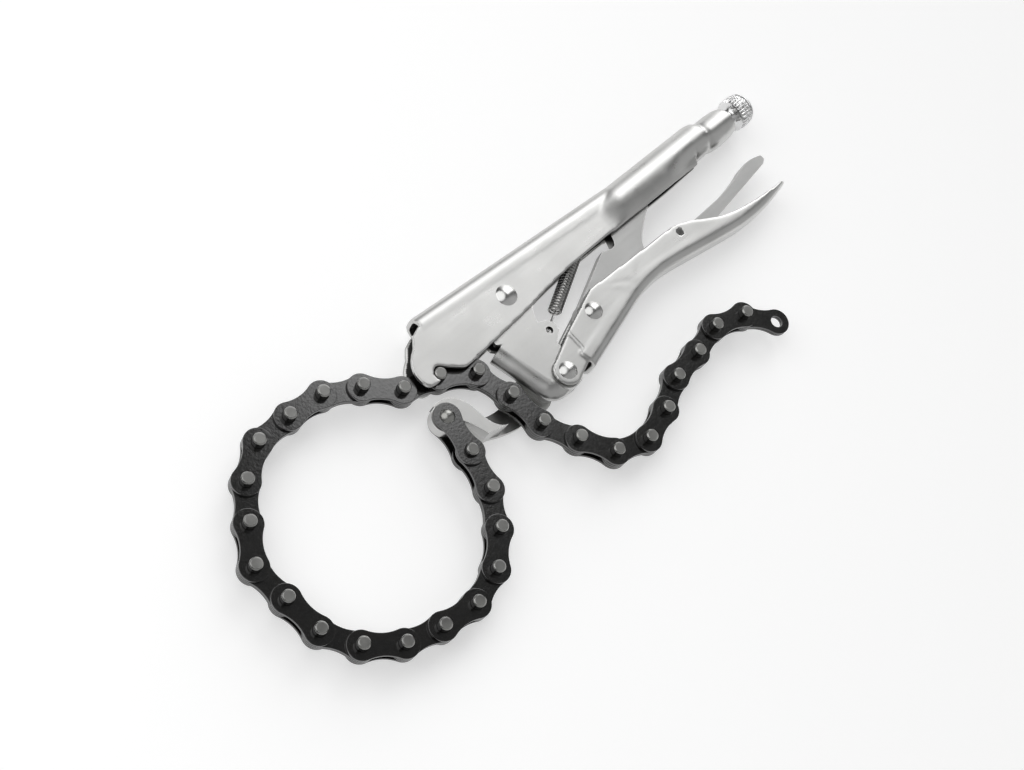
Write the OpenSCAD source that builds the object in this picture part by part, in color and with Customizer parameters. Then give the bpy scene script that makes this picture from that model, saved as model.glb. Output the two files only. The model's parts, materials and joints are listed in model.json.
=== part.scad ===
// Locking chain wrench: a toggle-lever gripping tool whose moving jaw draws a leaf chain tight round
// a can or pipe. The tool lies flat, with every pivot upright. Sizes are in millimetres.
// Drawing plane: the main pivot is at [0, 0], the handle runs along +X and the lever lies on the -Y side.

/* [Chain] */
// Distance between neighbouring chain pins
pitch = 15.875; // [15:0.005:17]
// Diameter of the chain pins
pin_d = 5.08; // [4.4:0.02:5.4]
// Length of a chain pin that stands out past the outer plates
pin_out = 3.7; // [3:0.1:4.2]
// Diameter of the round end of a link plate
plate_d = 11.4; // [10.6:0.1:12]
// Width of a link plate at its waist
waist_w = 8.4; // [7.6:0.1:9]
// Thickness of a link plate
plate_t = 1.25; // [1.05:0.05:1.35]

/* [Handle] */
// Thickness of the handle's sheet
sheet = 2; // [1.6:0.1:2.4]
// Outside radius of the bends along the handle's spine
spine_r = 4.9; // [3.4:0.1:5]
// Outside radius of the handle's round tube
tube_r = 8; // [7.6:0.1:8.4]
// Outside radius of the threaded neck behind the tube
neck_r = 7.4; // [7:0.1:7.8]
// Length of the threaded neck
neck_len = 15; // [12:0.5:17]

/* [Adjusting screw] */
// Outside diameter of the screw's thread
screw_d = 9.8; // [9:0.1:10]
// Pitch of the screw's thread
thread_pitch = 1.5; // [1.25:0.25:2]
// Radius of the knurled head
head_r = 7.4; // [7:0.1:8.5]
// Width of the knurled rim
rim_w = 5; // [4:0.5:7]
// Number of grooves in the knurl
knurl_n = 30; // [20:1:36]

/* [Jaw and levers] */
// Width of the moving jaw over its cheeks
jaw_w = 8; // [7.6:0.1:8.2]
// Thickness of the jaw's sheet
jaw_sheet = 2.2; // [1.8:0.1:2.4]
// Thickness of the strap that carries the nose behind the chain
strap_t = 2.6; // [2.2:0.1:3.2]
// Thickness of the toggle link
toggle_t = 6; // [5:0.1:7]
// Width of the release lever
release_w = 7.2; // [6:0.1:7.6]

/* [Rivets] */
// Diameter of the main rivet's shank
main_shank_d = 5; // [4.4:0.1:5.4]
// Diameter of the shanks of the lever, toggle and nose rivets
rivet_shank_d = 4.2; // [3.8:0.1:4.6]
// Radius of the main rivet's domed heads
main_head_r = 3.6; // [3.2:0.1:4.2]
// Radius of the other rivets' domed heads
rivet_head_r = 3.1; // [2.8:0.1:3.6]
// Height of the domed heads
head_h = 1.7; // [1.2:0.1:2]
// Diameter of the release lever's pin
release_pin_d = 3; // [2.4:0.1:3.4]

/* [Spring] */
// Diameter of the spring's wire
wire_d = 1; // [0.8:0.05:1.1]
// Outside diameter of the spring
spring_d = 6.4; // [6:0.1:6.8]
// Number of curls in the spring
curls = 34; // [28:1:36]

/* [Clearances] */
// Play between chain plates that slide on each other
side_play = 0.1; // [0.05:0.01:0.15]
// Play between stamped pieces that swing inside each other
swing_play = 0.3; // [0.2:0.05:0.35]
// Radial running clearance on the rivets, pins and screw
run = 0.05; // [0.03:0.01:0.1]
// Radial clearance of riveted and pressed shanks
press = 0.01; // [0.005:0.005:0.02]
// Play of a chain pin in the hook's notch
notch_play = 0.35; // [0.3:0.05:0.5]

/* [Hidden] */
$fn = 64;
steel = [0.78, 0.79, 0.80];
bright = [0.88, 0.88, 0.90];
dark = [0.16, 0.16, 0.15];

// Pivot places in the drawing plane
nose = [-54.9, -21.5];
notch = [-45.3, -7.4];
lever_pivot = [-2.6, -38.2];
toggle_pivot = [25.3, -26.8];
release_pivot = [84.5, -25];
spring_hole = [5, -21.2];
spring_tab = [61, 5.2];

// Levels across the chain, measured from its middle plane
inner_z = side_play / 2;
outer_z = inner_z + plate_t + side_play;
anchor_z = outer_z + plate_t + side_play;
nose_half = anchor_z - side_play;
pin_half = outer_z + plate_t + pin_out;

// Levels across the stamped pieces
jaw_half = jaw_w / 2;
inside_half = jaw_half + swing_play;
outside_half = inside_half + sheet;
strap_top = -(pin_half + swing_play);
strap_low = strap_top - strap_t;
pin_r = pin_d / 2;
plate_r = plate_d / 2;
bore_r = pin_r + run;

// Chain layout: the links of the loop lie along the headings below, two more links close the loop
// to the hook's notch, and the tail falls freely from there
loop_heading = [
    -99, -105, -123, -140, -164, -188, -197, -218, -240, -266, -267, -305, -309, -328, -358, -364, -387
];
tail_heading = [-31, -74, -84, -62, -58, -18, 14, 25, 6, 11, -16, -46];
LOOP_LINKS = len(loop_heading);
LAST_LINK = LOOP_LINKS + 1 + len(tail_heading);

function dir(a) = [cos(a), sin(a)];
// The point after k links laid from a start along a list of headings
function laid(start, headings, k) =
    k == 0 ? start : laid(start, headings, k - 1) + pitch * dir(headings[k - 1]);
// The elbow of two links that reach from a to b, on the right of that line
function elbow(a, b) =
    let (span = b - a, d = norm(span))
    (a + b) / 2 + sqrt(pitch^2 - d^2 / 4) / d * [span[1], -span[0]];
function joint_point(k) =
    k <= LOOP_LINKS ? laid(nose, loop_heading, k) :
    k == LOOP_LINKS + 1 ? elbow(laid(nose, loop_heading, LOOP_LINKS), notch) :
    laid(notch, tail_heading, k - LOOP_LINKS - 2);
function between(a, b) = atan2(b[1] - a[1], b[0] - a[0]);
function link_heading(k) = between(joint_point(k), joint_point(k + 1));
// Points of a quadratic curve from a to c, drawn towards b
function curve(a, b, c, n = 10) =
    [for (i = [0 : n]) let (t = i / n) a * (1 - t)^2 + b * 2 * t * (1 - t) + c * t^2];

// Screw and tube along the handle: the tube's top runs on from the spine, and the neck follows the screw
screw_y = 0.6;
tube_top = 10.1;
tube_y = tube_top - tube_r;
wall_y = -7.3;
flare_x = 60;
tube_x = 74;
wall_end = 121;
shoulder_x = 127;
neck_x = shoulder_x + 8;
neck_end = neck_x + neck_len;
head_x = neck_end + 3;
head_end = head_x + rim_w + 6;
tip_x = 87;
screw_r = screw_d / 2;

// The origin lies under the middle of the part's box, on the plane it rests on
chain_x = [for (k = [0 : LAST_LINK + 1]) joint_point(k)[0]];
chain_y = [for (k = [0 : LAST_LINK + 1]) joint_point(k)[1]];
shift = [
    -(min(chain_x) - plate_r + head_end) / 2,
    -(min(chain_y) + max(chain_y)) / 2,
    max(tube_r, -strap_low)
];

function two_digits(k) = k < 10 ? str("0", k) : str(k);
OUTER = [for (k = [1 : 2 : LAST_LINK - 1]) k];
INNER = [for (k = [2 : 2 : LAST_LINK]) k];

// Sheet-metal helpers

// Inset of a section that is seated in the end of a bend
$inset = 0;
SEAT = 0.02;
// Inset of a flat cheek from the faces of the folded edge that it joins
CHEEK = 0.05;

// A folded channel in section: depth along X, width along Y, rounded at the folds
module channel_section(half, thick, fold_r, depth) {
    difference() {
        translate([$inset, 0])
            fold_shape(half - $inset, fold_r, depth - 2 * $inset);
        translate([thick - $inset, 0])
            fold_shape(half - thick + $inset, max(fold_r - thick, 0.2), depth);
    }
}

module fold_shape(half, fold_r, depth) {
    translate([fold_r, -half])
        square([depth - fold_r, 2 * half]);
    translate([0, -half + fold_r])
        square([fold_r + 0.01, 2 * (half - fold_r)]);
    for (side = [-1, 1])
        translate([fold_r, side * (half - fold_r)])
            circle(fold_r);
}

// A folded channel in section whose front is blunt: it narrows to a round edge over its own depth
module blunt_section(half, thick, front, depth) {
    difference() {
        translate([$inset, 0])
            blunt_shape(half - $inset, front, depth - 2 * $inset);
        translate([thick - $inset, 0])
            blunt_shape(half - thick + $inset, front - thick, depth);
    }
}

module blunt_shape(half, front, depth) {
    polygon(concat(
        [for (a = [-90 : 15 : 90]) [front * (1 - cos(a)), half * sin(a)]],
        [[depth, half], [depth, -half]]
    ));
}

// Sweeps a section along straight runs [length, 0, 0] and bends [0, turn, radius], each laid in the
// frame at the end of the last; a run after a bend is a hair smaller and seats in the bend's end.
// The section's depth lies on the left of the path
module sweep(path, i = 0) {
    if (i < len(path)) {
        run_len = path[i][0];
        turn = path[i][1];
        centre = [0, sign(turn) * path[i][2], 0];
        if (turn == 0) {
            translate([$inset > 0 ? -0.2 : 0, 0, 0])
                rotate([90, 0, 90])
                    linear_extrude(run_len + ($inset > 0 ? 0.2 : 0))
                        children();
            translate([run_len, 0, 0])
                sweep(path, i + 1)
                    children();
        } else {
            mirror([0, turn > 0 ? 0 : 1, 0])
                translate([0, path[i][2], 0])
                    rotate(-90)
                        rotate_extrude(angle = abs(turn), $fn = 180)
                            translate([path[i][2], 0])
                                mirror([turn > 0 ? 1 : 0, 0])
                                    children();
            translate(centre)
                rotate(turn)
                    translate(-centre)
                        sweep(path, i + 1, $inset = $inset + SEAT)
                            children();
        }
    }
}

// Lays a sweep from a point along a heading
module swept(path, at, heading) {
    translate([at[0], at[1], 0])
        rotate(heading)
            sweep(path)
                children();
}

// A pair of cheeks cut to one outline, between two levels on either side of the middle plane
module cheeks(low, high) {
    for (side = [0, 1])
        mirror([0, 0, side])
            translate([0, 0, low])
                linear_extrude(high - low)
                    children();
}

// A slab through the middle plane
module slab(half) {
    translate([0, 0, -half])
        linear_extrude(2 * half)
            children();
}

// Room for a strip that ends at x with a round tip, seen from its edge
module round_tip(x, half) {
    rotate([90, 0, 0])
        linear_extrude(160, center = true) {
            translate([0, -half])
                square([x - half, 2 * half]);
            translate([x - half, 0])
                circle(half);
        }
}

module hole(at, r) {
    translate([at[0], at[1], -20])
        cylinder(r = r, h = 40);
}

// A rivet with a domed head at each end
module rivet(at, shank_r, grip_half, dome_r) {
    translate([at[0], at[1], 0]) {
        cylinder(r = shank_r, h = 2 * grip_half, center = true);
        for (side = [0, 1])
            mirror([0, 0, side])
                translate([0, 0, grip_half])
                    dome(dome_r, head_h);
    }
}

module dome(r, h) {
    ball_r = (r^2 + h^2) / (2 * h);
    rotate_extrude()
        intersection() {
            translate([0, h - ball_r])
                circle(ball_r, $fn = 128);
            square([r + 1, h + 1]);
        }
}

// Handle

module handle_cheek() {
    difference() {
        polygon(concat(
            [[-34, 10.2], [-39.2, 11.9], [-43.5, 10.3]],
            curve([-47, 6.5], [-54.5, 2.5], [-54.5, -4.5], 6),
            curve([-54.4, -5.5], [-54.3, -9.5], [-50, -9.8], 6),
            [[-47.4, -9.8], [-45.3, -4], [-43, -5.6], [-41, -7.6]],
            curve([-36.6, -11.2], [-34, -12.6], [-30, -11.8], 4),
            curve([6, -9.4], [26, -6.2], [flare_x + 1, wall_y + 0.4]),
            [[flare_x + 1, 4.7]]
        ));
        translate(notch)
            circle(pin_r + notch_play);
        translate(notch)
            rotate(-68)
                translate([0, -pin_r - notch_play + 0.06])
                    square([12, 2 * (pin_r + notch_play - 0.06)]);
    }
}

// Half width of the tube as it flares from the flat cheeks, as points [x, half width]
FLARE_STEPS = 8;
flare = [for (i = [0 : FLARE_STEPS])
    let (t = i / FLARE_STEPS)
    [flare_x + t * (tube_x - flare_x), outside_half + (tube_r - outside_half) * t^2 * (3 - 2 * t)]];

// Lower walls of the tube, flared from the flat cheeks
module tube_walls(grow) {
    translate([0, tube_y, 0])
        rotate([90, 0, 0])
            linear_extrude(tube_y - wall_y + max(-grow, 0))
                for (side = [0, 1])
                    mirror([0, side])
                        polygon(concat(
                            [[flare_x, 0]],
                            [for (p = flare) [p[0], p[1] + grow]],
                            [[wall_end, tube_r + grow], [wall_end, 0]]
                        ));
}

// Turns a profile of points [radius, x] about an axis along the handle
module turned(axis_y) {
    translate([0, axis_y, 0])
        rotate([0, 90, 0])
            rotate_extrude()
                children();
}

// Round tube with a soft shoulder
module tube() {
    turned(tube_y)
        polygon(concat(
            [[0, flare_x]],
            [for (p = flare) [p[1], p[0]]],
            curve([tube_r, shoulder_x], [tube_r, neck_x - 2.5], [tube_r - 3, neck_x - 1.5], 6),
            [[0, neck_x - 1.5]]
        ));
}

module tube_bore() {
    turned(tube_y)
        polygon(concat(
            [[0, flare_x - 1], [inside_half, flare_x - 1]],
            [for (p = flare) [p[1] - sheet, p[0]]],
            [[tube_r - sheet, wall_end + 1], [0, wall_end + 1]]
        ));
}

// Threaded neck, swelling out of the shoulder and drawn in at its end
module neck() {
    turned(screw_y)
        polygon(concat(
            [[0, neck_x - 4]],
            curve([neck_r - 1.2, neck_x - 4], [neck_r, neck_x - 2], [neck_r, neck_x + 1], 4),
            curve([neck_r, neck_x + 4], [neck_r, neck_end - 3], [neck_r - 1, neck_end - 0.6], 5),
            [[neck_r - 1.6, neck_end], [0, neck_end]]
        ));
}

// Short grooves where the rolled edges end at the shoulder
module seam_grooves() {
    for (side = [0, 1])
        mirror([0, 0, side])
            translate([wall_end + 1.5, tube_y, 0])
                rotate([55, 0, 0])
                    translate([0, -0.5, tube_r - 1])
                        cube([6, 1, 3]);
}

module fixed_handle() {
    color(steel)
        difference() {
            union() {
                difference() {
                    union() {
                        swept([[112, 0, 0]], [tube_x, tube_top - CHEEK], 176.6)
                            channel_section(outside_half, sheet, spine_r, spine_r + 3);
                        cheeks(inside_half + CHEEK, outside_half - CHEEK)
                            handle_cheek();
                        tube();
                        neck();
                        tube_walls(0);
                    }
                    tube_bore();
                    tube_walls(-sheet);
                    seam_grooves();
                }
                spring_anchor();
            }
            hole([0, 0], main_shank_d / 2 + press);
            translate([wall_end, screw_y, 0])
                rotate([0, 90, 0])
                    cylinder(r = screw_r + run, h = neck_end - wall_end + 1);
        }
}

// Tab inside the spine that holds the spring's upper hook
module spring_anchor() {
    translate([spring_tab[0] + 0.6, spring_tab[1] - 1.6, -1.5])
        cube([2, 6.5, 3]);
}

// Adjusting screw

module adjusting_screw() {
    ridges = floor((neck_x - tip_x - 6) / thread_pitch);
    crest = [for (i = [0 : ridges * 2])
        [screw_r - (i % 2) * 0.7, tip_x + 5 + i * thread_pitch / 2]];
    end_x = tip_x + 5 + ridges * thread_pitch;
    color(bright)
        difference() {
            turned(screw_y)
                polygon(concat(
                    [[0, tip_x]],
                    curve([1.5, tip_x], [3.6, tip_x], [screw_r - 1, tip_x + 4], 5),
                    crest,
                    [[screw_r, end_x + 0.1], [screw_r, neck_end + 0.4], [screw_r - 0.8, neck_end + 1],
                    [screw_r - 0.8, head_x], [head_r - 0.6, head_x + 1.2], [head_r, head_x + 1.8],
                    [head_r, head_x + 1.8 + rim_w], [head_r - 0.9, head_x + 2.4 + rim_w],
                    [head_r - 0.9, head_x + 3 + rim_w], [head_r - 0.3, head_x + 3.4 + rim_w]],
                    curve([head_r - 0.4, head_x + 4 + rim_w], [head_r - 1, head_end], [0, head_end], 6)
                ));
            translate([head_x + 1, screw_y, 0])
                rotate([0, 90, 0])
                    for (i = [0 : knurl_n - 1])
                        rotate(i * 360 / knurl_n)
                            translate([head_r, 0, 0])
                                rotate(45)
                                    translate([-0.4, -0.4, 0])
                                        cube([0.8, 0.8, rim_w + 1.6]);
        }
}

// Main rivet

module main_rivet() {
    color(bright)
        rivet([0, 0], main_shank_d / 2, outside_half, main_head_r);
}

// Moving jaw

jaw_start = [-22.9, -15.7];
jaw_heading = -75;
jaw_run = 23.4;
jaw_bend_r = 9;
jaw_path = [[jaw_run, 0, 0], [0, -jaw_heading, jaw_bend_r], [6.4, 0, 0]];

module jaw_cheek() {
    polygon(concat(
        [[-15.4, -4], [-17.4, -9], [-17.8, -12.2], [-16.2, -13.8], [-10.1, -36.5]],
        curve([-9.9, -37.2], [-9.4, -38], [-8.2, -38], 3),
        [[lever_pivot[0], -38], [4.4, -38], [3.6, -27]],
        curve([8.6, -23.6], [9.2, -17.4], [5.2, -16.6], 6),
        curve([3.6, -16], [4.2, -11.6], [8.6, -8.4], 6),
        [[8.6, 0], [0, 7.6], [-8, 6]]
    ));
    circle(8.6);
    translate(lever_pivot)
        circle(6.8);
    translate(spring_hole)
        circle(4);
}

// The nose's finger: an eye for the chain's first link, its root swung clear of the first link
module nose_outline() {
    translate(nose)
        circle(plate_r + 0.4);
    polygon(concat(
        curve([nose[0] - 1, nose[1] + 6.5], [nose[0] + 9, nose[1] + 8], [nose[0] + 11.5, nose[1] - 3], 8),
        curve([-42.8, -30], [-41.4, -37.6], [-37, -38.6], 6),
        curve([-46, -36.6], [-47.6, -31], [nose[0] + 4, nose[1] - 4], 6)
    ));
}

module strap_outline() {
    polygon(concat(
        curve([-44.6, -25.6], [-40, -31], [-30, -31.2], 6),
        [[-20.6, -27.4], [-13.8, -27.4], [-9.6, -39.6]],
        curve([-9.6, -41.4], [-12, -44.4], [-18, -43], 5),
        curve([-30, -41.6], [-37, -40.4], [-44.8, -36.2], 5)
    ));
}

// Where the nose's finger stands up from the strap, clear of the first link's swing
module riser_outline() {
    intersection() {
        nose_outline();
        polygon([[-45.4, -24], [-30, -24], [-30, -42], [-45.4, -42]]);
    }
}

// Web inside the jaw's front edge that carries the strap, along the lower end of the edge
module strap_web() {
    web_run = 10.5;
    foot = strap_low + 0.5;
    swept([[web_run, 0, 0], [0, 45, jaw_bend_r]], jaw_start + (jaw_run - web_run) * dir(jaw_heading), jaw_heading)
        translate([2, foot])
            square([2.4, -jaw_half + 1.8 - foot]);
}

module moving_jaw() {
    color(steel)
        difference() {
            union() {
                swept(jaw_path, jaw_start, jaw_heading)
                    blunt_section(jaw_half, jaw_sheet, 6.5, 8);
                cheeks(jaw_half - jaw_sheet + CHEEK, jaw_half - CHEEK)
                    jaw_cheek();
                slab(nose_half)
                    nose_outline();
                translate([0, 0, strap_low])
                    linear_extrude(strap_t)
                        strap_outline();
                translate([0, 0, strap_low + 0.5])
                    linear_extrude(nose_half - strap_low - 1)
                        riser_outline();
                strap_web();
            }
            hole([0, 0], main_shank_d / 2 + run);
            hole(lever_pivot, rivet_shank_d / 2 + run);
            hole(nose, rivet_shank_d / 2 + run);
            hole(spring_hole, 1.6);
        }
}

// Lever

lever_start = [9, -44.2];
lever_heading = 14;
lever_path = [[36, 0, 0], [0, -23, 75], [32, 0, 0], [0, 20, 110], [6, 0, 0]];
lever_end = 148.6;
lever_top = concat(
    [[-5.2, -32.6], [6.9, -27.4], [31, -19], [62, -20.2]],
    curve([78, -20.6], [90, -21], [98, -26.6], 6),
    curve([106, -30.4], [120, -35.6], [lever_end + 2, -36.4], 8)
);

module lever_silhouette() {
    polygon(concat(lever_top, [[lever_end + 2, -50], [60, -60], [4, -48.5]]));
}

module lever_cheek() {
    intersection() {
        lever_silhouette();
        polygon(concat(
            [[9.6, -24], [9.6, -39.6], [44.6, -31]],
            curve([44.6, -31], [58, -27.6], [73, -30]),
            [[101.6, -34], [128, -36.4], [128, -10], [9, -10]]
        ));
    }
}

module lever_eye() {
    translate(lever_pivot)
        circle(6.2);
    polygon([
        lever_pivot + 6 * dir(112), [10, -26.4], [10, -40.2], lever_pivot + 6 * dir(-72)
    ]);
}

module lever() {
    eye_t = sheet - 0.5;
    color(steel)
        difference() {
            union() {
                intersection() {
                    swept(lever_path, lever_start, lever_heading)
                        channel_section(outside_half, sheet, 3.6, 8);
                    slab(outside_half + 1)
                        lever_silhouette();
                    round_tip(lever_end, outside_half + 0.5);
                }
                cheeks(inside_half + CHEEK, outside_half - CHEEK)
                    lever_cheek();
                cheeks(inside_half + 2 * CHEEK, inside_half + eye_t)
                    lever_eye();
            }
            hole(lever_pivot, rivet_shank_d / 2 + press);
            hole(toggle_pivot, rivet_shank_d / 2 + press);
            hole(release_pivot, release_pin_d / 2 + press);
        }
}

module lever_rivet() {
    color(bright)
        rivet(lever_pivot, rivet_shank_d / 2, outside_half - 0.5, rivet_head_r);
}

module toggle_rivet() {
    color(bright)
        rivet(toggle_pivot, rivet_shank_d / 2, outside_half, rivet_head_r);
}

module release_pin() {
    color(bright)
        translate([release_pivot[0], release_pivot[1], 0])
            cylinder(d = release_pin_d, h = 2 * outside_half, center = true);
}

// Toggle link

toggle_end = [tip_x - 1.2, screw_y];

module toggle_outline() {
    polygon(concat(
        [toggle_pivot + 5.6 * dir(120), [50.4, -10.2], [55.2, -11.8], [57.4, -11.4]],
        curve([58.4, -10.2], [62, 2.4], [toggle_end[0] - 4, toggle_end[1] + 4], 6),
        curve([toggle_end[0] - 1, toggle_end[1] + 3], [toggle_end[0] + 1, toggle_end[1]],
            [toggle_end[0] - 1, toggle_end[1] - 3], 6),
        curve([toggle_end[0] - 1.6, -7.6], [69, -15.4], [67.6, -20], 8),
        [[54, -26], toggle_pivot + 5.6 * dir(-62)]
    ));
}

module toggle_link() {
    half = toggle_t / 2;
    color(steel)
        difference() {
            union() {
                slab(half)
                    toggle_outline();
                translate([toggle_pivot[0], toggle_pivot[1], -half])
                    cylinder(r = 6, h = toggle_t);
            }
            hole(toggle_pivot, rivet_shank_d / 2 + run);
        }
}

// Release lever

release_end = 150.4;

module release_outline() {
    polygon(concat(
        [[67, -24.6], [76, -22.6], [96, -24.6]],
        curve([113, -24.2], [128, -22.8], [135, -20.6], 5),
        curve([138, -20], [146, -20], [release_end, -22.8], 6),
        curve([146, -25.2], [132, -27], [112, -29.4], 6),
        curve([100, -31], [84, -31.4], [68, -29.4], 6)
    ));
}

module release_lever() {
    half = release_w / 2;
    color(steel)
        difference() {
            intersection() {
                slab(half)
                    release_outline();
                round_tip(release_end - 0.2, half + 0.4);
            }
            hole(release_pivot, release_pin_d / 2 + run);
        }
}

// Return spring: one wire from the jaw's lug, round its curls, to the tab inside the handle

SPRING_RINGS = 8;
SPRING_SIDES = 6;
spring_len = norm(spring_tab - spring_hole);
spring_heading = between(spring_hole, spring_tab);
coil_r = (spring_d - wire_d) / 2;
coil_start = 11;
coil_end = spring_len - 3.2;
curl_pitch = (coil_end - coil_start) / curls;

// Wire's centre line along the spring's own axis: hook, curls, hook
wire_points = concat(
    [[0, 0, jaw_half], [0, 0, 1.2], [0.8, 0, 0.2], [2.4, 0, 0], [coil_start - 3, 0, 0]],
    [[coil_start - 1.2, 0, 0.6]],
    [for (i = [0 : curls * SPRING_RINGS])
        let (a = i * 360 / SPRING_RINGS)
        [coil_start + i * curl_pitch / SPRING_RINGS, coil_r * sin(a), coil_r * cos(a)]],
    [[coil_end + 1.2, 0, 0.6], [coil_end + 2.2, 0, 0], [spring_len + 0.2, 0, 0]]
);

function unit(v) = v / norm(v);
function wire_along(i) =
    unit(wire_points[min(i + 1, len(wire_points) - 1)] - wire_points[max(i - 1, 0)]);
function wire_side(i) =
    let (t = wire_along(i), up = abs(t[1]) > 0.9 ? [1, 0, 0] : [0, 1, 0])
    unit(cross(t, up));

// Each ring's side direction is the last one's, turned no more than the wire itself bends
function carry(side, t) = unit(side - (side * t) * t);
function wire_sides(i, side, list) =
    i == len(wire_points) ? list :
    let (next = carry(side, wire_along(i)))
    wire_sides(i + 1, next, concat(list, [next]));

curl_gap = min([for (i = [0 : SPRING_RINGS * 2], j = [i + SPRING_RINGS - 2 : i + SPRING_RINGS + 2])
    norm(wire_points[i + 6] - wire_points[j + 6])]) - wire_d;
echo(least_gap_between_curls = curl_gap);

module return_spring() {
    sides = wire_sides(0, wire_side(0), []);
    rings = len(wire_points);
    points = [for (i = [0 : rings - 1], s = [0 : SPRING_SIDES - 1])
        let (t = wire_along(i), u = sides[i], v = cross(t, u), a = s * 360 / SPRING_SIDES)
        wire_points[i] + wire_d / 2 * (cos(a) * u + sin(a) * v)];
    walls = [for (i = [0 : rings - 2], s = [0 : SPRING_SIDES - 1])
        let (a = i * SPRING_SIDES + s, b = i * SPRING_SIDES + (s + 1) % SPRING_SIDES)
        each [[a, b, b + SPRING_SIDES], [a, b + SPRING_SIDES, a + SPRING_SIDES]]];
    last = (rings - 1) * SPRING_SIDES;
    caps = [for (s = [1 : SPRING_SIDES - 2])
        each [[0, s + 1, s], [last, last + s, last + s + 1]]];
    color(dark)
        translate([spring_hole[0], spring_hole[1], 0])
            rotate(spring_heading)
                polyhedron(points = points, faces = [for (f = concat(walls, caps)) [f[0], f[2], f[1]]]);
}

// Chain

// One link plate from [0, 0] to the next pin, its waist rounded tangent to both ends
module plate_outline() {
    waist = waist_w / 2;
    hollow_r = (pitch^2 / 4 + waist^2 - plate_r^2) / (2 * (plate_r - waist));
    touch = plate_r / (plate_r + hollow_r);
    for (x = [0, pitch])
        translate([x, 0])
            circle(plate_r);
    difference() {
        translate([touch * pitch / 2, -touch * (waist + hollow_r)])
            square([pitch * (1 - touch), 2 * touch * (waist + hollow_r)]);
        for (side = [-1, 1])
            translate([pitch / 2, side * (waist + hollow_r)])
                circle(hollow_r, $fn = 180);
    }
}

module on_link(k) {
    at = joint_point(k);
    translate([at[0], at[1], 0])
        rotate(link_heading(k))
            children();
}

// Both plates of a link, with the radii of its two bores
module link_plates(k, level, first_r, second_r) {
    color(dark)
        on_link(k)
            cheeks(level, level + plate_t)
                difference() {
                    plate_outline();
                    circle(first_r);
                    translate([pitch, 0])
                        circle(second_r);
                }
}

module anchor_link() {
    link_plates(0, anchor_z, rivet_shank_d / 2 + press, bore_r);
}

module nose_rivet() {
    color(bright)
        rivet(nose, rivet_shank_d / 2, anchor_z + plate_t, rivet_head_r);
}

module outer_link(k) {
    link_plates(k, outer_z, pin_r + press, pin_r + press);
}

module inner_link(k) {
    link_plates(k, inner_z, bore_r, bore_r);
}

// The two pins of an outer link, with eased ends
module link_pins(k) {
    ease = 0.5;
    color(dark)
        on_link(k)
            for (x = [0, pitch])
                translate([x, 0, 0])
                    rotate_extrude()
                        polygon([
                            [0, -pin_half], [pin_r - ease, -pin_half], [pin_r, -pin_half + ease],
                            [pin_r, pin_half - ease], [pin_r - ease, pin_half], [0, pin_half]
                        ]);
}

translate(shift) {
    fixed_handle();
    adjusting_screw();
    main_rivet();
    moving_jaw();
    return_spring();
    lever();
    lever_rivet();
    toggle_link();
    toggle_rivet();
    release_lever();
    release_pin();
    anchor_link();
    nose_rivet();
    for (k = OUTER) {
        outer_link(k);
        link_pins(k);
    }
    for (k = INNER)
        inner_link(k);
}
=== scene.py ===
import json
import math

import bpy
from mathutils import Matrix, Vector

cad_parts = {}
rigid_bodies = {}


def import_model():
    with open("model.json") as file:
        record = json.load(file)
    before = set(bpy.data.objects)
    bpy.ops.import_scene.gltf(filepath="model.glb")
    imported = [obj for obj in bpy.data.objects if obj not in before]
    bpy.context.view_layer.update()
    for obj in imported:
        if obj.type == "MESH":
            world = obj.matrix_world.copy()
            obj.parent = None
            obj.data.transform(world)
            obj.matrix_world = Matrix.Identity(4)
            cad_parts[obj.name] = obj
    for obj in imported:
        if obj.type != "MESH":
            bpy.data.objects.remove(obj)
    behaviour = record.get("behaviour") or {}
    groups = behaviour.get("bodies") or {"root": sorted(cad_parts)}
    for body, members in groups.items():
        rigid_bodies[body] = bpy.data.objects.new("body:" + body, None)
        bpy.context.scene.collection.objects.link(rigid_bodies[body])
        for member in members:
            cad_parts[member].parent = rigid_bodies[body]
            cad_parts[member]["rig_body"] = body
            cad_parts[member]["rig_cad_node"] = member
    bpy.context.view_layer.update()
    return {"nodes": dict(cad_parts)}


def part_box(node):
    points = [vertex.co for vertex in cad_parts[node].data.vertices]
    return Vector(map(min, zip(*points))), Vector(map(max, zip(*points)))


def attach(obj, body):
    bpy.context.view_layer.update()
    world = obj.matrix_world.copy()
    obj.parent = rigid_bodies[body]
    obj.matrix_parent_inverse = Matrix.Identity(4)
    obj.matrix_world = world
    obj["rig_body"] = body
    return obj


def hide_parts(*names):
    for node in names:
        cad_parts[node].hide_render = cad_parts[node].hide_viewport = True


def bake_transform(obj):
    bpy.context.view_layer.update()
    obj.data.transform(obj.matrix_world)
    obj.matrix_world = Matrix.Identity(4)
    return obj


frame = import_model()
bpy.ops.object.select_all(action="DESELECT")

# Studio
# A white table seen from above and from the hook's side. A broad bright panel hangs where the flat
# faces mirror it, a soft lamp above the spine, and the room is dark behind the camera.
picture_width = 1024
focal_length = 1700
sensor_width = 36
camera_data = bpy.data.cameras.new("camera")
camera_data.sensor_width = sensor_width
camera_data.lens = sensor_width * focal_length / picture_width
camera_data.clip_start = 0.01
camera = bpy.data.objects.new("camera", camera_data)
bpy.context.scene.collection.objects.link(camera)
camera_place = Vector((-0.36456, -0.04881, 0.57276))
view_right = Vector((0.65527, -0.67986, 0.32926))
view_up = Vector((0.55444, 0.72889, 0.40164))
view_back = Vector((-0.51306, -0.08063, 0.85456))
view_axes = Matrix((view_right, view_up, view_back)).transposed().to_4x4()
camera.matrix_world = Matrix.Translation(camera_place) @ view_axes
bpy.context.scene.camera = camera
bpy.context.scene.view_settings.view_transform = "Standard"

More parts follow.
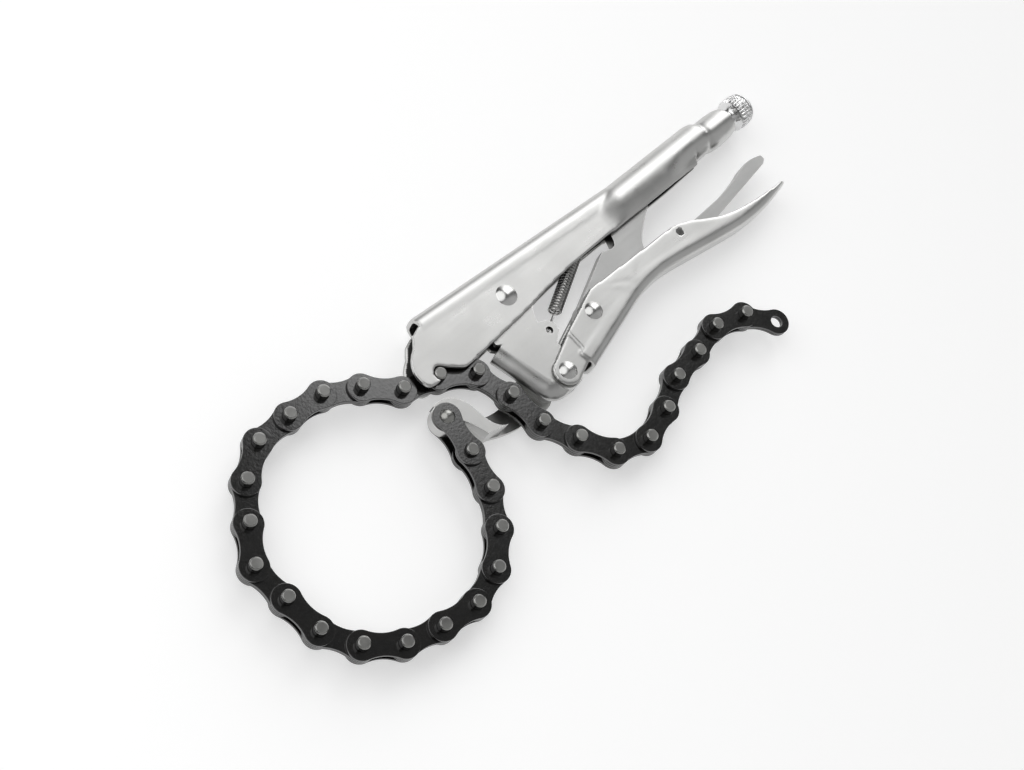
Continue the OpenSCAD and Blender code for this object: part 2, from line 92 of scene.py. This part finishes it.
floor_size = 12
floor_gap = 0.0004
paper_white = 0.74
paper_lift = 0.42
bpy.ops.mesh.primitive_plane_add(size=floor_size, location=(0, 0, -floor_gap))
floor = bpy.context.active_object
floor.name = "floor"
bpy.ops.object.transform_apply(location=True)
table_white = bpy.data.materials.new("table_white")
table_white.use_nodes = True
tree = table_white.node_tree
tree.nodes.clear()
out = tree.nodes.new("ShaderNodeOutputMaterial")
paper = tree.nodes.new("ShaderNodeBsdfDiffuse")
paper.inputs["Color"].default_value = (paper_white, paper_white, paper_white, 1)
glow = tree.nodes.new("ShaderNodeEmission")
glow.inputs["Color"].default_value = (1, 1, 1, 1)
both = tree.nodes.new("ShaderNodeAddShader")
tree.links.new(paper.outputs[0], both.inputs[0])
tree.links.new(glow.outputs[0], both.inputs[1])
tree.links.new(both.outputs[0], out.inputs["Surface"])


def combined(tree, operation, first, second):
    """Joins two values by one operation."""
    join = tree.nodes.new("ShaderNodeMath")
    join.operation = operation
    tree.links.new(first, join.inputs[0])
    tree.links.new(second, join.inputs[1])
    return join.outputs[0]


rays = tree.nodes.new("ShaderNodeLightPath").outputs
mirrored = combined(tree, "MAXIMUM", rays["Is Glossy Ray"], rays["Is Transmission Ray"])
seen = combined(tree, "MAXIMUM", rays["Is Camera Ray"], mirrored)
lift = tree.nodes.new("ShaderNodeMath")
lift.operation = "MULTIPLY"
lift.inputs[1].default_value = paper_lift
tree.links.new(seen, lift.inputs[0])
tree.links.new(lift.outputs[0], glow.inputs["Strength"])
floor.data.materials.append(table_white)

world = bpy.data.worlds.new("studio")
bpy.context.scene.world = world
world.use_nodes = True
tree = world.node_tree
tree.nodes.clear()
out = tree.nodes.new("ShaderNodeOutputWorld")
room = tree.nodes.new("ShaderNodeBackground")
room.inputs["Color"].default_value = (1, 1, 1, 1)
where = tree.nodes.new("ShaderNodeTexCoord")
split = tree.nodes.new("ShaderNodeSeparateXYZ")
tree.links.new(where.outputs["Generated"], split.inputs[0])


def fade(axis, start, end, low, high):
    """A soft step of the room's light from low to high along one axis."""
    step = tree.nodes.new("ShaderNodeMapRange")
    step.interpolation_type = "SMOOTHSTEP"
    step.inputs["From Min"].default_value = start
    step.inputs["From Max"].default_value = end
    step.inputs["To Min"].default_value = low
    step.inputs["To Max"].default_value = high
    tree.links.new(split.outputs[axis], step.inputs["Value"])
    return step.outputs["Result"]


panel_edge = fade("Y", start=0.03, end=0.135, low=0.0, high=1.98)
panel_rise = fade("Y", start=0.14, end=0.42, low=0.0, high=0.35)
panel_top = fade("Y", start=0.92, end=0.45, low=0.0, high=1.0)
panel_side = fade("X", start=0.39, end=0.46, low=0.0, high=1.0)
side_wall = fade("Y", start=-0.10, end=-0.42, low=0.0, high=0.34)
far_wall = fade("X", start=0.0, end=0.6, low=0.08, high=0.14)
panel = combined(tree, "ADD", panel_edge, panel_rise)
panel = combined(tree, "MULTIPLY", panel, panel_top)
panel = combined(tree, "MULTIPLY", panel, panel_side)
walls = combined(tree, "ADD", side_wall, far_wall)
tree.links.new(combined(tree, "ADD", walls, panel), room.inputs["Strength"])
tree.links.new(room.outputs[0], out.inputs["Surface"])

lamp_distance = 1.2
lamp_data = bpy.data.lights.new("overhead_lamp", "AREA")
lamp_data.shape = "DISK"
lamp_data.size = 1.7
lamp_data.energy = 9.3
lamp = bpy.data.objects.new("overhead_lamp", lamp_data)
bpy.context.scene.collection.objects.link(lamp)
lamp_side = Vector((-0.35, 0.50, 0.79)).normalized()
lamp_turn = lamp_side.to_track_quat("Z", "Y").to_matrix().to_4x4()
lamp.matrix_world = Matrix.Translation(lamp_side * lamp_distance) @ lamp_turn

# Handle
# Pressed from one sheet of steel: a channel with a rounded spine, hooked cheeks at the chain end
# and a tube rolled at the other. Bright satin plating, faint draw marks; inside painted as shade.


def dressed(node, name, edge, weld=0.00008, sharp=32, rounds=2, flat=True):
    """A copy of a CAD node with its cut edges eased, shaded smooth between them."""
    bpy.ops.object.select_all(action="DESELECT")
    solid = frame["nodes"][node]
    solid.hide_set(False)
    solid.select_set(True)
    bpy.context.view_layer.objects.active = solid
    bpy.ops.object.duplicate()
    copy = bpy.context.active_object
    copy.name = name
    copy.data.name = name
    copy.parent = None
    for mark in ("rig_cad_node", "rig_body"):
        del copy[mark]
    copy.data.materials.clear()
    bpy.ops.object.mode_set(mode="EDIT")
    bpy.ops.mesh.select_all(action="SELECT")
    bpy.ops.mesh.remove_doubles(threshold=weld)
    bpy.ops.mesh.dissolve_degenerate(threshold=0.00001)
    bpy.ops.mesh.select_all(action="SELECT")
    bpy.ops.mesh.dissolve_limited(angle_limit=math.radians(0.6))
    bpy.ops.object.mode_set(mode="OBJECT")
    if edge:
        bevel = copy.modifiers.new("eased_edges", "BEVEL")
        bevel.width = edge
        bevel.segments = rounds
        bevel.limit_method = "ANGLE"
        bevel.angle_limit = math.radians(sharp)
        bpy.ops.object.modifier_apply(modifier=bevel.name)
    bpy.ops.object.shade_smooth_by_angle(angle=math.radians(sharp))
    if flat:
        even = copy.modifiers.new("flat_faces", "WEIGHTED_NORMAL")
        even.keep_sharp = True
        even.weight = 90
        bpy.ops.object.modifier_apply(modifier=even.name)
    return copy


def mottle(tree, spot, scale, detail, low, high):
    """Noise over the piece, spread from low to high."""
    noise = tree.nodes.new("ShaderNodeTexNoise")
    noise.inputs["Scale"].default_value = scale
    noise.inputs["Detail"].default_value = detail
    noise.inputs["Roughness"].default_value = 0.6
    tree.links.new(spot, noise.inputs["Vector"])
    spread = tree.nodes.new("ShaderNodeMapRange")
    spread.clamp = False
    spread.inputs["From Min"].default_value = 0.3
    spread.inputs["From Max"].default_value = 0.7
    spread.inputs["To Min"].default_value = low
    spread.inputs["To Max"].default_value = high
    tree.links.new(noise.outputs["Fac"], spread.inputs["Value"])
    return spread.outputs["Result"]


def rubbed_edges(tree, width, patches):
    """A mask of the piece's edges and corners, broken up by patches."""
    corner = tree.nodes.new("ShaderNodeBevel")
    corner.samples = 4
    corner.inputs["Radius"].default_value = width
    facing = tree.nodes.new("ShaderNodeNewGeometry")
    turn = tree.nodes.new("ShaderNodeVectorMath")
    turn.operation = "DOT_PRODUCT"
    tree.links.new(corner.outputs["Normal"], turn.inputs[0])
    tree.links.new(facing.outputs["Normal"], turn.inputs[1])
    mask = tree.nodes.new("ShaderNodeMapRange")
    mask.inputs["From Min"].default_value = 0.995
    mask.inputs["From Max"].default_value = 0.90
    tree.links.new(turn.outputs["Value"], mask.inputs["Value"])
    return combined(tree, "MULTIPLY", mask.outputs["Result"], patches)


def blended(tree, kind, factor, first, second):
    """Mixes two colours or numbers by a mask; either may be a socket or a fixed value."""
    mix = tree.nodes.new("ShaderNodeMix")
    mix.data_type = kind
    ends = (6, 7) if kind == "RGBA" else (2, 3)
    tree.links.new(factor, mix.inputs[0])
    for end, value in zip(ends, (first, second)):
        if isinstance(value, bpy.types.NodeSocket):
            tree.links.new(value, mix.inputs[end])
        else:
            mix.inputs[end].default_value = (*value, 1) if kind == "RGBA" else value
    return mix.outputs[2 if kind == "RGBA" else 0]


def roughened(tree, shader, height, strength):
    """Gives a shader a shallow relief."""
    bump = tree.nodes.new("ShaderNodeBump")
    bump.inputs["Strength"].default_value = strength
    bump.inputs["Distance"].default_value = 0.0002
    tree.links.new(height, bump.inputs["Height"])
    tree.links.new(bump.outputs["Normal"], shader.inputs["Normal"])


def plated(name, dull, bright, rough_low, rough_high, grain, rub):
    """Plating over steel: cloudy tone, uneven gloss, fine drawn marks and polished edges."""
    finish = bpy.data.materials.new(name)
    finish.use_nodes = True
    tree = finish.node_tree
    shader = tree.nodes["Principled BSDF"]
    shader.inputs["Metallic"].default_value = 1.0
    spot = tree.nodes.new("ShaderNodeTexCoord").outputs["Object"]
    patches = mottle(tree, spot, scale=400, detail=3, low=0.5, high=0.9)
    edges = rubbed_edges(tree, 0.0007, patches)
    clouds = mottle(tree, spot, scale=60, detail=6, low=0.0, high=1.0)
    tone = blended(tree, "RGBA", clouds, dull, bright)
    tree.links.new(blended(tree, "RGBA", edges, tone, rub), shader.inputs["Base Color"])
    gloss = mottle(tree, spot, scale=120, detail=3, low=rough_low, high=rough_high)
    gloss = blended(tree, "FLOAT", edges, gloss, 0.7 * rough_low)
    tree.links.new(gloss, shader.inputs["Roughness"])
    stretch = tree.nodes.new("ShaderNodeMapping")
    stretch.inputs["Scale"].default_value = (35, 420, 420)
    tree.links.new(spot, stretch.inputs["Vector"])
    marks = mottle(tree, stretch.outputs[0], scale=1, detail=3, low=0.0, high=1.0)
    roughened(tree, shader, marks, grain)
    return finish


def plate_and_paint_inside_shade(piece, outside, inside, reach=0.016, clearance=0.0003):
    """Plates a pressing and paints shade inside it: faces that look straight at its own walls get
    the dark material as painted shade.
    """
    piece.data.materials.append(outside)
    piece.data.materials.append(inside)
    bpy.context.view_layer.update()
    for face in piece.data.polygons:
        start = face.center + clearance * face.normal
        if piece.ray_cast(start, face.normal, distance=reach)[0]:
            face.material_index = 1


def eased(value, start, end):
    """A soft step from 0 at start to 1 at end."""
    t = min(max((value - start) / (end - start), 0.0), 1.0)
    return t * t * (3 - 2 * t)


def reskinned(piece):
    """Rebuilds a pressing as one even skin that can flow like drawn sheet."""
    skin = piece.modifiers.new("even_skin", "REMESH")
    skin.mode = "VOXEL"
    skin.voxel_size = 0.0005
    bpy.ops.object.modifier_apply(modifier=skin.name)


def flowed(piece, group, rounds):
    """Relaxes the skin by the weights of a vertex group."""
    flow = piece.modifiers.new("drawn_form", "SMOOTH")
    flow.factor = 0.5
    flow.iterations = rounds
    flow.vertex_group = group
    bpy.ops.object.modifier_apply(modifier=flow.name)


satin_plate = plated(
    "satin_plate",
    dull=(0.54, 0.54, 0.53),
    bright=(0.63, 0.63, 0.62),
    rough_low=0.26,
    rough_high=0.36,
    grain=0.035,
    rub=(0.72, 0.72, 0.71),
)
# Dark dull steel: the release pin's own finish, and painted shade on the pressings' inner faces.
dark_steel_and_painted_shade = plated(
    "dark_steel_and_painted_shade",
    dull=(0.06, 0.06, 0.058),
    bright=(0.13, 0.13, 0.125),
    rough_low=0.48,
    rough_high=0.62,
    grain=0.12,
    rub=(0.3, 0.3, 0.3),
)
mid_z = 0.00925
tube_axis_y = 0.0343
tube_radius = 0.008
wall_depth = 0.0094
wall_end = 0.1175
wall_lean = 0.24
least_width = 0.06
handle_shell = dressed("fixed_handle", "handle_shell", 0.0)
reskinned(handle_shell)
drawn = handle_shell.vertex_groups.new(name="drawn")
shoulder = handle_shell.vertex_groups.new(name="shoulder")
for point in handle_shell.data.vertices:
    x = point.co.x
    below = max(tube_axis_y - point.co.y, 0.0)
    leaning = 1 - wall_lean * eased(x, 0.0563, 0.0703) * (below / wall_depth) ** 2
    closed = max(1 - (below / tube_radius) ** 2, least_width) ** 0.5
    if x < wall_end:
        closing = eased(x, 0.095, 0.1165)
        width = (1 - closing) * leaning + closing * closed
        point.co.z = mid_z + (point.co.z - mid_z) * width
    drawn.add([point.index], 0.4 + 0.6 * eased(x, 0.040, 0.056), "REPLACE")
    at_shoulder = eased(x, 0.100, 0.112) * (1 - eased(x, 0.122, 0.128))
    shoulder.add([point.index], at_shoulder, "REPLACE")
flowed(handle_shell, "drawn", 12)
flowed(handle_shell, "shoulder", 30)
bpy.ops.object.shade_smooth()
# The handle's inner faces are painted dark as shade.
plate_and_paint_inside_shade(handle_shell, satin_plate, dark_steel_and_painted_shade)
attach(handle_shell, "handle")
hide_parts("fixed_handle")

# Adjusting screw
# Turned from bar: a smooth shoulder and a rolled thread, with a ball-shaped head knurled in
# diamonds. Polished plating, darker in the knurl's grooves.
bright_plate = plated(
    "bright_plate",
    dull=(0.68, 0.68, 0.68),
    bright=(0.80, 0.80, 0.80),
    rough_low=0.14,
    rough_high=0.24,
    grain=0.05,
    rub=(0.9, 0.9, 0.9),
)
screw_body = dressed("adjusting_screw", "knurled_screw", 0.0, weld=0.00002)
screw_body.data.materials.append(bright_plate)
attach(screw_body, "screw")
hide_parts("adjusting_screw")

head_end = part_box("adjusting_screw")[1].x
head_length = 0.0112
head_radius = 0.0075
screw_y = 0.03282
knurl_starts = 14
knurl_twist = 26
groove_width = 0.5
groove_depth = 0.05
bpy.ops.object.select_all(action="DESELECT")
bpy.ops.mesh.primitive_uv_sphere_add(segments=216, ring_count=44, radius=1)
knurl = bpy.context.active_object
knurl.name = "knurled_head"
for point in knurl.data.vertices:
    around = math.atan2(point.co.y, point.co.x)
    t = (1 + point.co.z) / 2
    right_cut = abs(math.sin(knurl_starts * around + knurl_twist * t))
    left_cut = abs(math.sin(knurl_starts * around - knurl_twist * t))
    groove = max(0.0, 1 - min(right_cut, left_cut) / groove_width)
    ball = (1 - abs(2 * t - 1) ** 3) ** 0.5
    radius = head_radius * ball * (1 - groove_depth * groove)
    point.co = (
        head_end - head_length * (1 - t),
        screw_y + radius * math.cos(around),
        mid_z + radius * math.sin(around),
    )
bpy.ops.object.mode_set(mode="EDIT")
bpy.ops.mesh.select_all(action="SELECT")
bpy.ops.mesh.normals_make_consistent(inside=False)
bpy.ops.object.mode_set(mode="OBJECT")
bpy.ops.object.shade_smooth_by_angle(angle=math.radians(40))
knurl.data.materials.append(bright_plate)
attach(knurl, "screw")

# Rivets and pin of the linkage
# Cold-headed steel, each head struck to a polished dome wider than its shank; the release
# lever's pin is set flush and left dull.
struck_plate = plated(
    "struck_plate",
    dull=(0.60, 0.60, 0.59),
    bright=(0.70, 0.70, 0.69),
    rough_low=0.20,
    rough_high=0.28,
    grain=0.03,
    rub=(0.78, 0.78, 0.77),
)
head_growth = 1.25
no_head = 1.0
for node, name, body, grip in (
    ("main_rivet", "jaw_rivet", "handle", 0.0063),
    ("lever_rivet", "lever_rivet_heads", "lever", 0.0058),
    ("toggle_rivet", "toggle_rivet_heads", "lever", 0.0063),
    ("release_pin", "release_pin_ends", "lever", no_head),
):
    rivet = dressed(node, name, 0.0, weld=0.00002, flat=False)
    low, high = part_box(node)
    axis = (low.xy + high.xy) / 2
    for point in rivet.data.vertices:
        if abs(point.co.z - mid_z) > grip - 0.00001:
            point.co.xy = axis + head_growth * (point.co.xy - axis)
    rivet.data.materials.append(dark_steel_and_painted_shade if node == "release_pin" else struck_plate)
    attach(rivet, body)
    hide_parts(node)

# Moving jaw
# Folded from sheet round its front edge, with two cheeks on the main rivet and a nose that
# holds the chain's first link. Satin plating outside; its inner faces are painted dark as shade.
jaw_body = dressed("moving_jaw", "jaw_body", 0.0003)
plate_and_paint_inside_shade(jaw_body, satin_plate, dark_steel_and_painted_shade)
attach(jaw_body, "jaw")
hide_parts("moving_jaw")

# Hand lever
# Drawn from sheet like the handle, with stepped eyes that straddle the jaw and rolled sides that
# fade into the tip. Satin plating outside; its inner faces are painted dark as shade.
lever_body = dressed("lever", "lever_body", 0.0)
reskinned(lever_body)
lever_low, lever_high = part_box("lever")
pin_low, pin_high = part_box("release_pin")
pin_axis = (pin_low.xy + pin_high.xy) / 2
full_roll_x = lever_low.x + 0.75 * (lever_high.x - lever_low.x)
rolled = lever_body.vertex_groups.new(name="rolled")
for point in lever_body.data.vertices:
    roll = 0.3 + 0.7 * eased(point.co.x, lever_low.x, full_roll_x)
    roll *= eased((point.co.xy - pin_axis).length, 0.0025, 0.0060)
    rolled.add([point.index], roll, "REPLACE")
flowed(lever_body, "rolled", 24)
bpy.ops.object.shade_smooth()
plate_and_paint_inside_shade(lever_body, satin_plate, dark_steel_and_painted_shade)
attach(lever_body, "lever")
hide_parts("lever")

# Toggle link and release lever
# The toggle is a solid forging with a round eye; the release lever is a pressed tongue with
# rounded edges, bent to the thumb. Both keep a greyer plating than the pressings.
grey_plate = plated(
    "grey_plate",
    dull=(0.38, 0.38, 0.375),
    bright=(0.46, 0.46, 0.455),
    rough_low=0.28,
    rough_high=0.38,
    grain=0.06,
    rub=(0.62, 0.62, 0.61),
)
for node, name, body, edge in (
    ("toggle_link", "toggle_forging", "toggle", 0.0004),
    ("release_lever", "release_tongue", "release", 0.0010),
):
    piece = dressed(node, name, edge, rounds=3)
    piece.data.materials.append(grey_plate)
    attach(piece, body)
    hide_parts(node)

# Return spring
# Drawn spring wire, close wound, hooked in the jaw's lug and over a tab in the handle.
# Dark bare steel that glints along each turn.
spring_wire = plated(
    "spring_wire",
    dull=(0.30, 0.30, 0.29),
    bright=(0.46, 0.45, 0.44),
    rough_low=0.16,
    rough_high=0.24,
    grain=0.02,
    rub=(0.6, 0.6, 0.6),
)
wire_growth = 0.00004
spring = dressed("return_spring", "spring_coil", 0.0, weld=0.000005)
bpy.ops.object.mode_set(mode="EDIT")
bpy.ops.mesh.select_all(action="SELECT")
bpy.ops.transform.shrink_fatten(value=wire_growth)
bpy.ops.object.mode_set(mode="OBJECT")
smooth = spring.modifiers.new("round_wire", "SUBSURF")
smooth.levels = 1
smooth.render_levels = 1
bpy.ops.object.modifier_apply(modifier=smooth.name)
spring.data.materials.append(spring_wire)
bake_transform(spring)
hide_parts("return_spring")

# Chain
# Leaf chain: waisted plates blanked from strip, outer and inner pairs in turn, black oxide all
# over with a brown cast where oil has dried, rubbed grey along the blanked edges.
oxide_black = (0.002, 0.002, 0.002)
oxide_brown = (0.006, 0.0055, 0.0045)
rubbed_grey = (0.05, 0.048, 0.044)
chain_black = bpy.data.materials.new("chain_black")
chain_black.use_nodes = True
tree = chain_black.node_tree
shader = tree.nodes["Principled BSDF"]
shader.inputs["Specular IOR Level"].default_value = 0.85
shader.inputs["IOR"].default_value = 1.65
spot = tree.nodes.new("ShaderNodeTexCoord").outputs["Object"]
patches = mottle(tree, spot, scale=500, detail=4, low=0.1, high=0.8)
rub = rubbed_edges(tree, 0.0004, patches)
clouds = mottle(tree, spot, scale=150, detail=6, low=0.0, high=1.0)
oxide = blended(tree, "RGBA", clouds, oxide_black, oxide_brown)
tree.links.new(blended(tree, "RGBA", rub, oxide, rubbed_grey), shader.inputs["Base Color"])
gloss = mottle(tree, spot, scale=700, detail=4, low=0.09, high=0.14)
tree.links.new(gloss, shader.inputs["Roughness"])
pits = mottle(tree, spot, scale=900, detail=3, low=0.0, high=1.0)
roughened(tree, shader, pits, 0.06)

outer_links = range(1, 30, 2)
inner_links = range(2, 31, 2)
plates = [("anchor_link", "first_link_plates", "link_00")]
plates += [(f"outer_link_{k:02d}", f"outer_plates_{k:02d}", f"link_{k:02d}") for k in outer_links]
plates += [(f"inner_link_{k:02d}", f"inner_plates_{k:02d}", f"link_{k:02d}") for k in inner_links]
for node, name, body in plates:
    pair = dressed(node, name, 0.00022, weld=0.00001)
    pair.data.materials.append(chain_black)
    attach(pair, body)
    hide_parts(node)

# Chain pins
# Hard steel pins, cut square and chamfered, standing out on both sides so that any of them can
# be hooked. Black sides, grey cut ends and a rim worn bright.
cut_steel = plated(
    "cut_steel",
    dull=(0.16, 0.16, 0.155),
    bright=(0.28, 0.28, 0.27),
    rough_low=0.32,
    rough_high=0.46,
    grain=0.05,
    rub=(0.5, 0.5, 0.5),
)
worn_rim = plated(
    "worn_rim",
    dull=(0.26, 0.26, 0.25),
    bright=(0.40, 0.40, 0.38),
    rough_low=0.24,
    rough_high=0.34,
    grain=0.05,
    rub=(0.6, 0.6, 0.6),
)
end_slope = 0.97
rim_slope = 0.3
pins = [(f"link_pins_{k:02d}", f"pin_pair_{k:02d}", f"link_{k:02d}") for k in outer_links]
pins.append(("nose_rivet", "nose_rivet_heads", "link_00"))
for node, name, body in pins:
    pair = dressed(node, name, 0.0001, weld=0.00001)
    for finish in (chain_black, cut_steel, worn_rim):
        pair.data.materials.append(finish)
    for face in pair.data.polygons:
        slope = abs(face.normal.z)
        face.material_index = 1 if slope > end_slope else 2 if slope > rim_slope else 0
    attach(pair, body)
    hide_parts(node)
